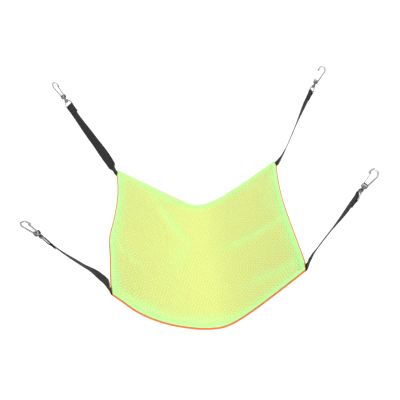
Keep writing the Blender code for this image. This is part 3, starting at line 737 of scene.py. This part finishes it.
def seamLine(layer):
    flat = runRound(layer, hem["width"] * hem["seamAt"])
    offset = (layerAt + hem["half"] * 0.8) * layer["side"]
    return list(hungPoints(flat[:, 0], flat[:, 1], np.full(len(flat), offset)))


seam = seamLine(layers["upper"])
hemStitches = stitchPiece("hemStitches", "greenThread", [seam + seam[:1]], "panel",
                          ["hem_thread"])
lowerStitches = stitchPiece("lowerHemStitches", "greenThread", [seamLine(layers["lower"])], "panel")
print("panel made")

webbing = {
    "width": 20 * mm, "thick": 1.4 * mm, "tabLength": 14 * mm, "tabAt": -3.2 * mm,
    "flexGap": 1.6 * mm, "bendReach": 0.05,  # where it bends beside the tab, and how far that carries
    "foldLength": 19.5 * mm, "foldCloses": 8 * mm, "straight": 24 * mm,  # down from the ring's bar
    "ribStep": 0.8 * mm, "columns": 17, "ribHeight": 0.11 * mm, "cordHeight": 0.08 * mm,
    "sunk": 0.06 * mm, "edgeThins": 0.55,
    "blend": (-2 * mm, 4 * mm),  # out from the cut corner, where it goes from the panel to the strap
    "tabRows": 16, "bendRows": 5, "bendRounds": 12, "flightRows": 240, "skewFrom": 22,
}
gap = 0.3 * mm
metal = {
    "bar": 1.15 * mm, "ringSideGap": 0.4 * mm, "ringHeight": 13.2 * mm, "ringShoulder": 5.5 * mm,
    "ringTop": 9 * mm, "collar": 3.3 * mm, "collarHeight": 4.4 * mm, "collarEdge": 0.5 * mm,
    "shank": 1.6 * mm, "head": 2.7 * mm, "headHeight": 2.2 * mm, "neck": 3.4 * mm,
    "block": (10 * mm, 7.2 * mm, 7.8 * mm), "blockRound": 1.7 * mm, "bow": 1.3 * mm,
    "nose": 1.7 * mm, "noseLength": 5 * mm, "noseDown": 12 * mm, "bowHeight": 31 * mm,
    "bowSpine": 8.2 * mm, "bowNose": 5.9 * mm, "leafThick": 0.7 * mm, "leafWidth": 3.2 * mm,
    "leafLap": 3 * mm, "leafRound": 0.22 * mm, "eye": 1.7 * mm, "eyeEdge": 0.2 * mm,
    "rivet": 0.9 * mm, "rivetHead": 1.7 * mm, "rivetRise": 0.6 * mm, "pivot": (-2.6 * mm, -3 * mm),
}
# heights above the ring's bar
collarBottom = metal["ringHeight"] - metal["collarHeight"] / 2
collarTop = metal["ringHeight"] + metal["collarHeight"] / 2
neckBottom = collarTop + 2 * gap
blockBottom = neckBottom + metal["neck"]
blockTop = blockBottom + metal["block"][2]
bowTop = blockTop + metal["bowHeight"]
hookReach = bowTop - metal["bow"]
noseEnd = bowTop - metal["noseDown"]
noseTop = noseEnd + metal["noseLength"]
pivot = Vector((metal["pivot"][0], 0, blockTop + metal["pivot"][1]))


def frameMatrix(x, y, z, origin):
    matrix = Matrix((x, y, z)).transposed().to_4x4()
    matrix.translation = origin
    return matrix


def cutFrame(corner):  # X along the cut corner, Y out of the panel, Z up from it
    u, v = ((side + 1) // 2 for side in corner["side"])
    across, along = hung["cutAcross"], hung["cutAlong"]
    nearU = abs(u - across / hung["panelWidth"])
    nearV = abs(v - along / hung["panelDepth"])
    shares = (nearU, nearV), (nearU, v), (u, nearV)
    inner, beside, behind = (Vector(panelPoints(s, t)) for s, t in shares)
    first = beside + (beside - inner) * hung["tabBeyond"] / along
    second = behind + (behind - inner) * hung["tabBeyond"] / across
    side = (second - first).normalized()
    middle = (first + second) / 2
    normal = side.cross(inner - middle).normalized()
    normal *= 1 if normal.z > 0 else -1
    out = normal.cross(side)
    if out.dot(middle - inner) < 0:
        side, out = -side, -out
    return frameMatrix(side, out, normal, middle)


def ringFrame(start, top, twist):  # X along the ring's bar, Z up to what the hook hangs on
    rise = (top - start.translation).normalized()
    out, width = start.to_3x3().col[1], start.to_3x3().col[0]
    carried = out.rotation_difference(rise) @ width
    bar = Matrix.Rotation(radians(twist), 3, rise) @ carried
    return frameMatrix(bar, rise.cross(bar), rise, top - rise * hookReach)


def twistAt(turns, t):  # in radians, easing from one turn to the next
    for (low, first), (high, second) in zip(turns, turns[1:]):
        if t <= high:
            return radians(lerp(first, second, float(smooth((t - low) / (high - low)))))
    return radians(turns[-1][1])


# the webbing is a row of frames, each its middle, the way across it and the way out of its face
def tabFrames(cut):  # under the panel
    across, up = cut.to_3x3().col[0].copy(), cut.to_3x3().col[2].copy()
    rows = webbing["tabRows"]
    ways = [-webbing["tabLength"] * (1 - k / rows) for k in range(rows)]
    return [(cut @ Vector((0, y, webbing["tabAt"])), across, up) for y in ways]


def flightFrames(start, foot, bar, rise, turns):  # a twisting curve up to the foot of the fold
    origin, out = start.translation, start.to_3x3().col[1].copy()
    width = start.to_3x3().col[0].copy()
    leave, arrive = out * webbing["bendReach"] * 2, rise * (foot - origin).length
    path, last = [], None
    for k in range(webbing["flightRows"] + 1):
        t = k / webbing["flightRows"]
        h = (2 * t**3 - 3 * t**2 + 1, t**3 - 2 * t**2 + t, 3 * t**2 - 2 * t**3, t**3 - t**2)
        g = (6 * t**2 - 6 * t, 3 * t**2 - 4 * t + 1, 6 * t - 6 * t**2, 3 * t**2 - 2 * t)
        point = origin * h[0] + leave * h[1] + foot * h[2] + arrive * h[3]
        along = (origin * g[0] + leave * g[1] + foot * g[2] + arrive * g[3]).normalized()
        if last:
            width = last.rotation_difference(along) @ width
        last = along
        path.append((point, along, width.copy(), t))
    rest = atan2(width.cross(bar).dot(along), width.dot(bar)) - twistAt(turns, 1)
    frames = []
    for point, along, width, t in path:
        side = Matrix.Rotation(twistAt(turns, t) + rest * t, 3, along) @ width
        frames.append((point, side, along.cross(side)))
    return frames


def foldFrames(ring, bend, facing, skew):  # up to the bar, round it and back
    rotation = ring.to_3x3()
    wrap = (metal["bar"] + gap + webbing["thick"] / 2) * facing
    closes, end = webbing["foldCloses"], webbing["foldLength"]
    line = [(-bend, z) for z in np.linspace(-webbing["straight"] + 1 * mm, -closes, 18)]
    line += [(-wrap * cos(a), abs(wrap) * sin(a)) for a in np.linspace(0, pi, 17)]
    line += [(bend, z) for z in np.linspace(-closes, -end, 15)]
    line = softened(line, 2)
    frames, skewFrom = [], webbing["skewFrom"]
    for k, (y, z) in enumerate(line):
        before, after = line[max(k - 1, 0)], line[min(k + 1, len(line) - 1)]
        along = Vector((after[0] - before[0], after[1] - before[1])).normalized()
        aside = skew * smooth((k - skewFrom) / (len(line) - skewFrom))
        up = rotation @ Vector((0, along.y, -along.x))
        frames.append((ring @ Vector((aside, y, z)), rotation.col[0].copy(), up))
    return frames


def webbingFrames(cut, start, ring, turns, facing, skew):
    bar, rise = ring.to_3x3().col[0].copy(), ring.to_3x3().col[2].copy()
    bend = (webbing["thick"] / 2 + gap / 2) * facing
    foot = ring @ Vector((0, -bend, -webbing["straight"]))
    frames = tabFrames(cut) + flightFrames(start, foot, bar, rise, turns)
    return easedBend(frames, webbing["tabRows"]) + foldFrames(ring, bend, facing, skew)


def easedBend(frames, at):  # where it leaves the tab, a tight but round bend
    near = range(at - webbing["bendRows"], at + webbing["bendRows"] + 1)
    for _ in range(webbing["bendRounds"]):
        eased = {
            k: tuple((frames[k - 1][n] + frames[k][n] * 2 + frames[k + 1][n]) / 4 for n in range(3))
            for k in near
        }
        frames = [eased.get(k, frame) for k, frame in enumerate(frames)]
    return frames


def softened(line, rounds):
    line = np.array(line)
    for _ in range(rounds):
        line[1:-1] = (line[:-2] + 2 * line[1:-1] + line[2:]) / 4
    return line


def evenFrames(frames, step):
    points, sides, ups = (np.array(values) for values in zip(*frames))
    run = np.concatenate([[0], np.cumsum(np.linalg.norm(np.diff(points, axis=0), axis=1))])
    at = np.linspace(0, run[-1], int(run[-1] / step))

    def spread(values):
        return np.stack([np.interp(at, run, values[:, k]) for k in range(3)], -1)

    def unit(values):
        return values / np.linalg.norm(values, axis=1, keepdims=True)

    sides, ups = unit(spread(sides)), spread(ups)
    ups = unit(ups - sides * (ups * sides).sum(1, keepdims=True))
    return spread(points), sides, ups, at


def webbingMesh(frames):
    points, sides, ups, at = evenFrames(frames, webbing["ribStep"] / 2)
    columns = webbing["columns"]
    share = np.linspace(-1, 1, columns)
    half = webbing["thick"] / 2 * (1 - webbing["edgeThins"] * np.abs(share) ** 14)
    rows, column = np.arange(len(at))[:, None], np.arange(columns)
    lean = np.abs(column - columns // 2)
    rib = ((rows + lean * 2) % 4 < 2) * 2.0 - 1.0  # herringbone, leaning to the middle
    selvage = 1 - smooth((np.abs(share) - 0.82) / 0.1)
    cords = np.where(column % 2 == 0, 1.0, -1.0)
    relief = (rib * webbing["ribHeight"] + cords * webbing["cordHeight"]) * selvage - webbing["sunk"]
    out = ups[:, None, :] * (half + relief)[..., None]
    width = webbing["width"] / 2 * share
    middle = points[:, None, :] + sides[:, None, :] * width[None, :, None]
    ring = np.concatenate([middle + out, (middle - out)[:, ::-1]], axis=1)
    uv = np.stack(np.broadcast_arrays(width[None, :], at[:, None]), -1)
    uv = np.concatenate([uv, uv[:, ::-1]], axis=1)
    faces = bandFaces(len(at), 2 * columns)
    for start in (0, (len(at) - 1) * 2 * columns):  # close both ends
        last = start + 2 * columns - 1
        faces += [(start + k, start + k + 1, last - k - 1, last - k) for k in range(columns - 1)]
    mesh = meshOf(ring.reshape(-1, 3), faces, uv.reshape(-1, 2))
    return mesh, float(at[-1])


def boxOfStitches(matrix, width, length, height, crossed):
    x, y = width / 2, length / 2
    lines = [[(-x, -y), (x, -y), (x, y), (-x, y), (-x, -y)]]
    if crossed:
        lines += [[(-x, -y), (x, y)], [(-x, y), (x, -y)]]
    return [[matrix @ Vector((*p, height)) for p in line] for line in lines]


# the metal shapes are made in their ring's frame
def filleted(bends, closed=False):  # (x, z, radius) to a rounded line
    count, line, steps = len(bends), [], 7
    for k, (x, z, radius) in enumerate(bends):
        here = Vector((x, z))
        if radius == 0 or (not closed and k in (0, count - 1)):
            line.append(here)
            continue
        before = (Vector(bends[k - 1][:2]) - here).normalized()
        after = (Vector(bends[(k + 1) % count][:2]) - here).normalized()
        angle = before.angle(after)
        reach = radius / tan(angle / 2)
        middle = here + (before + after).normalized() * radius / sin(angle / 2)
        first, second = here + before * reach, here + after * reach
        startAt = atan2(first.y - middle.y, first.x - middle.x)
        turn = atan2(second.y - middle.y, second.x - middle.x) - startAt
        turn = (turn + pi) % (2 * pi) - pi
        for n in range(steps + 1):
            a = startAt + turn * n / steps
            line.append(middle + Vector((cos(a), sin(a))) * radius)
    return line


def rodMesh(line, radii, closed=False):
    points, count, sides = [], len(line), 16
    for k, (at, radius) in enumerate(zip(line, radii)):
        before = line[k - 1] if closed or k else at
        after = line[(k + 1) % count] if closed or k < count - 1 else at
        along = (after - before).normalized()
        for n in range(sides):
            a = 2 * pi * n / sides
            out = Vector((-along.y, along.x)) * cos(a) * radius
            points.append((at.x + out.x, sin(a) * radius, at.y + out.y))
    faces = bandFaces(count, sides, closed)
    if not closed:
        faces += [tuple(range(sides)), tuple(range((count - 1) * sides, count * sides))]
    return meshOf(points, faces)


def turnedMesh(profile, sides=32, crossways=False, at=(0, 0, 0)):  # (radius, height), ends closed
    points = []
    for radius, height in profile:
        for n in range(sides):
            a = 2 * pi * n / sides
            spot = (radius * cos(a), radius * sin(a), height)
            points.append(Vector((spot[0], -spot[2], spot[1]) if crossways else spot) + Vector(at))
    faces = bandFaces(len(profile), sides)
    last = (len(profile) - 1) * sides
    faces += [tuple(range(sides)), tuple(range(last, last + sides))]
    return meshOf(points, faces)


def blockMesh(low, high, bevel, segments=4):
    mesh = bpy.data.meshes.new("block")
    edited = bmesh.new()
    bmesh.ops.create_cube(edited, size=1.0)
    low, high = Vector(low), Vector(high)
    for vertex in edited.verts:
        vertex.co = Vector([lerp(low[n], high[n], vertex.co[n] + 0.5) for n in range(3)])
    if bevel:
        bmesh.ops.bevel(edited, geom=edited.edges[:], offset=bevel, segments=segments,
                        affect="EDGES", profile=0.5, clamp_overlap=True)
    bmesh.ops.recalc_face_normals(edited, faces=edited.faces)
    edited.to_mesh(mesh)
    edited.free()
    return mesh


def joinedMesh(base, joined, cut):
    made, helpers = newObject("joining", base), []
    for operation, meshes in (("UNION", joined), ("DIFFERENCE", cut)):
        for mesh in meshes:
            helpers.append(newObject("helper", mesh))
            modifier = made.modifiers.new(operation, "BOOLEAN")
            modifier.operation, modifier.object, modifier.solver = operation, helpers[-1], "EXACT"
    mesh = plainMesh(made)
    for helper in [*helpers, made]:
        bpy.data.objects.remove(helper)
    cleaned(mesh, mergeWithin=0.004 * mm)
    mesh.set_sharp_from_angle(angle=radians(38))
    return mesh


def ringShape():
    half = webbing["width"] / 2 + metal["ringSideGap"] + metal["bar"]
    top, height = metal["ringTop"] / 2, metal["ringHeight"]
    line = filleted([
        (-half, 0, 2 * mm), (half, 0, 2 * mm), (half, metal["ringShoulder"], 4 * mm),
        (top, height, 3 * mm), (-top, height, 3 * mm), (-half, metal["ringShoulder"], 4 * mm),
    ], closed=True)
    loop = rodMesh(line, [metal["bar"]] * len(line), closed=True)
    r, edge = metal["collar"], metal["collarEdge"]
    collar = turnedMesh([
        (r - edge, collarBottom), (r - edge * 0.3, collarBottom + edge * 0.3),
        (r, collarBottom + edge), (r + edge * 0.3, height), (r, collarTop - edge),
        (r - edge * 0.3, collarTop - edge * 0.3), (r - edge, collarTop),
    ])
    bore = metal["shank"] + gap
    hole = turnedMesh([(bore, collarBottom - 1 * mm), (bore, collarTop + 1 * mm)])
    return joinedMesh(loop, [collar], [hole])


def bowMesh():
    spine, nose, thick = metal["bowSpine"], metal["bowNose"], metal["nose"]
    line = filleted([
        (metal["block"][0] / 2 - 1.6 * mm, blockTop - 4 * mm, 0), (spine, bowTop - 7.5 * mm, 4 * mm),
        (spine - 3.4 * mm, bowTop, 3.5 * mm), (-nose + 2.3 * mm, bowTop, 3 * mm),
        (-nose, noseTop + 1 * mm, 0),
    ])
    radii = [metal["bow"]] * len(line)
    for down, radius in ((0, metal["bow"]), (0.8 * mm, thick * 0.94), (1.1 * mm, thick),
                         (4.3 * mm, thick), (4.8 * mm, thick * 0.85), (5 * mm, thick * 0.6)):
        line.append(Vector((-nose, noseTop - down)))
        radii.append(radius)
    return rodMesh(line, radii)


def hookShape():
    x, y = metal["block"][0] / 2, metal["block"][1] / 2
    body = blockMesh((-x, -y, blockBottom), (x, y, blockTop), metal["blockRound"])
    headTop, head, shank = collarBottom - gap, metal["head"], metal["shank"]
    headBottom = headTop - metal["headHeight"]
    stem = turnedMesh([
        (head - 0.9 * mm, headBottom), (head - 0.3 * mm, headBottom + 0.2 * mm),
        (head, headBottom + 0.7 * mm), (head, headTop - 0.4 * mm),
        (head - 0.4 * mm, headTop - 0.05 * mm), (shank, headTop), (shank, neckBottom),
        (shank + 0.5 * mm, neckBottom + 1.2 * mm), (shank + 1.6 * mm, blockBottom),
        (shank + 1.6 * mm, blockBottom + 1 * mm),
    ])
    slotHalf, room = metal["leafWidth"] / 2 + 1.3 * gap, metal["eye"] + 1.6 * gap
    low, high = (-2 * x, -slotHalf, pivot.z - room), (pivot.x + room, slotHalf, blockTop + 2 * mm)
    slot = blockMesh(low, high, 0)
    bore = metal["rivet"] + gap
    hole = turnedMesh([(bore, -2 * y), (bore, 2 * y)], 24, True, pivot)
    return joinedMesh(body, [stem, bowMesh()], [slot, hole])


def gateShape():  # the leaf and the eye it turns on
    outer = -metal["bowNose"] + metal["nose"] + 1.2 * gap
    half, r, edge = metal["leafWidth"] / 2, metal["eye"], metal["eyeEdge"]
    high = (outer + metal["leafThick"], half, noseEnd + metal["leafLap"])
    leaf = blockMesh((outer, -half, pivot.z), high, metal["leafRound"], 2)
    profile = [(r - edge, -half), (r, -half + edge), (r, half - edge), (r - edge, half)]
    eye = turnedMesh(profile, 24, True, pivot)
    bore = metal["rivet"] + gap
    hole = turnedMesh([(bore, -2 * half), (bore, 2 * half)], 24, True, pivot)
    return joinedMesh(eye, [leaf], [hole])


def rivetShape():
    face = metal["block"][1] / 2 + gap
    head, rise = metal["rivetHead"], metal["rivetRise"]
    half = [
        (metal["rivet"], face), (head, face), (head, face + rise * 0.25),
        (head * 0.88, face + rise * 0.65), (head * 0.6, face + rise * 0.92), (head * 0.2, face + rise),
    ]
    mesh = turnedMesh([(r, -h) for r, h in reversed(half)] + half, 24, True, pivot)
    mesh.set_sharp_from_angle(angle=radians(50))
    return mesh


shapes = {
    "ringWire": ringShape(), "snapHook": hookShape(),
    "springGate": gateShape(), "hookRivet": rivetShape(),
}
paintedMetalShade = {  # painted shade for the dark reflections in the swivel and on the block: from, to, how much
    "snapHook": (neckBottom, blockTop - 1 * mm, 0.5), "ringWire": (collarBottom, collarTop, 0.35),
}
for name, (low, high, most) in paintedMetalShade.items():
    height = pointsOf(shapes[name])[:, 2]
    share = smooth((height - low) / mm) * smooth((high + 1 * mm - height) / mm)
    paint(shapes[name], "shade", share * most)
print("metal shapes made")

sewing = {
    "fold": (12 * mm, 8 * mm), "foldDown": 14 * mm,  # the box on the folded end, down from the bar
    "corner": (12 * mm, 3.6 * mm), "cornerIn": 4.4 * mm,  # the box that holds the tab
    "stitch": 2.0 * mm, "proud": 0.12 * mm,
}
fittings = {  # finish, slot, body and the node that each stands for
    "ringWire": ("nickel", "steel", "ring", "ring"),
    "snapHook": ("nickel", "steel", "hook", "hook"),
    "hookRivet": ("nickel", "steel", "hook", "gate_rivet"),
    "springGate": ("springSteel", "leaf_steel", "gate", "gate"),
}


def foldStitches(name, ring):
    down, flat = Matrix.Translation((0, 0, -sewing["foldDown"])), Matrix.Rotation(pi / 2, 4, "X")
    face = webbing["thick"] + gap / 2 + sewing["proud"]
    lines = []
    for side in (face, -face):
        lines += boxOfStitches(ring @ down @ flat, *sewing["fold"], side, True)
    return stitchPiece(f"{name}_foldStitches", "blackThread", lines, f"{name}_strap",
                       [f"{name}_fold_thread"], sewing["stitch"])


def cornerStitches(name, cut):
    middle = cut @ Matrix.Translation((0, -sewing["cornerIn"], 0))
    above = layerAt + hem["half"] * 1.25
    below = webbing["tabAt"] - webbing["thick"] / 2 - sewing["proud"]
    lines = boxOfStitches(middle, *sewing["corner"], above, False)
    lines += boxOfStitches(middle, *sewing["corner"], below, True)
    stitchPiece(f"{name}_cornerStitches", "greenThread", lines, "panel",
                [f"{name}_corner_thread"], sewing["stitch"])


for name, corner in corners.items():
    cut = cutFrame(corner)
    bendAt = cut @ Matrix.Translation((0, webbing["flexGap"] / 2, webbing["tabAt"]))
    lift = Matrix.Rotation(radians(corner["lift"]), 4, "X")
    start = bendAt @ lift @ Matrix.Translation((0, webbing["flexGap"] / 2, 0))
    ring = ringFrame(start, hangPoint(corner), corner["turns"][-1][1])
    hook = ring @ Matrix.Rotation(radians(corner["spin"]), 4, "Z")
    strap = f"{name}_strap"
    mesh, length = webbingMesh(webbingFrames(cut, start, ring, corner["turns"], *corner["fold"]))
    belt = addPiece(f"{name}_webbing", mesh, "webbing", None, [f"{name}_tab", strap])
    low, high = (cut @ Vector((0, y, webbing["tabAt"])) for y in webbing["blend"])
    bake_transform(belt)
    foldSeam = foldStitches(name, ring)
    cornerStitches(name, cut)
    for kind, (finish, slot, body, node) in fittings.items():
        placed = shapes[kind].copy()
        placed.transform(ring if kind == "ringWire" else hook)
        addPiece(f"{name}_{kind}", placed, finish, f"{name}_{body}", [f"{name}_{node}"])
    print(name, "webbing", round(length, 4))

camera = {
    "azimuth": -2.17, "elevation": 34.65, "roll": -3.62, "distance": 1.292,
    "target": (0, 0, -0.1665), "lens": 58.5, "sensor": 36,
}


def addCamera():
    a, e, r = (radians(camera[key]) for key in ("azimuth", "elevation", "roll"))
    back = Vector((sin(a) * cos(e), -cos(a) * cos(e), sin(e)))
    right = (-back).cross(Vector((0, 0, 1))).normalized()
    up = right.cross(-back)
    turnedRight = right * cos(r) + up * sin(r)
    turnedUp = up * cos(r) - right * sin(r)
    data = bpy.data.cameras.new("camera")
    data.lens, data.sensor_width = camera["lens"], camera["sensor"]
    data.clip_end = 20
    made = newObject("camera", data)
    at = Vector(camera["target"]) + back * camera["distance"]
    made.matrix_world = frameMatrix(turnedRight, turnedUp, back, at)
    bpy.context.scene.camera = made


studio = {
    "floorAt": -1.6, "floorSize": 40.0, "air": 0.62, "aim": (0, 0, -0.2),
    "sun": {"energy": 2.1, "angle": radians(60)}, "sunTurned": (28, 0, 9),
    "lamps": {"keyLight": ((-0.9, -1.1, 1.5), 6), "fillLight": ((1.3, -0.6, 1.1), 4)},  # where, watts
}


def addLight(name, kind, at, turned, settings):
    data = bpy.data.lights.new(name, kind)
    for key, value in settings.items():
        setattr(data, key, value)
    light = newObject(name, data)
    light.location, light.rotation_euler = at, turned


def addFloor():
    half, z = studio["floorSize"] / 2, studio["floorAt"]
    mesh = bpy.data.meshes.new("floor")
    places = [(-half, -half, z), (half, -half, z), (half, half, z), (-half, half, z)]
    mesh.from_pydata(places, [], [(0, 1, 2, 3)])
    paper = Finish("floorPaper", {"Roughness": 0.9, "Specular IOR Level": 0.1})
    mottle = paper.noise(paper.objectPlace(), 0.6) * 0.02
    paper.vary(Base_Color=paper.mix(mottle, (0.99, 0.99, 0.99, 1), (0.97, 0.97, 0.97, 1)))
    mesh.materials.append(paper.material)
    newObject("floor", mesh)


def addAir():  # white to the camera, dimmer as a light
    world = bpy.data.worlds.new("studioAir")
    world.use_nodes = True
    air = Tree(world.node_tree)
    background = air.nodes["Background"]
    background.inputs["Color"].default_value = (1, 1, 1, 1)
    seen = air.node("ShaderNodeLightPath", output="Is Camera Ray")
    air.feed(background.inputs["Strength"], seen.math("MAXIMUM", studio["air"]))
    bpy.context.scene.world = world


addCamera()
addFloor()
addAir()
sunTurned = [radians(angle) for angle in studio["sunTurned"]]
addLight("daylight", "SUN", (0, 0, 0), sunTurned, studio["sun"])
for name, (at, power) in studio["lamps"].items():
    turned = (Vector(at) - Vector(studio["aim"])).to_track_quat("Z", "Y").to_euler()
    addLight(name, "AREA", at, turned, {"energy": power, "size": 1.0, "shape": "SQUARE"})
bpy.context.scene.view_settings.view_transform = "Standard"
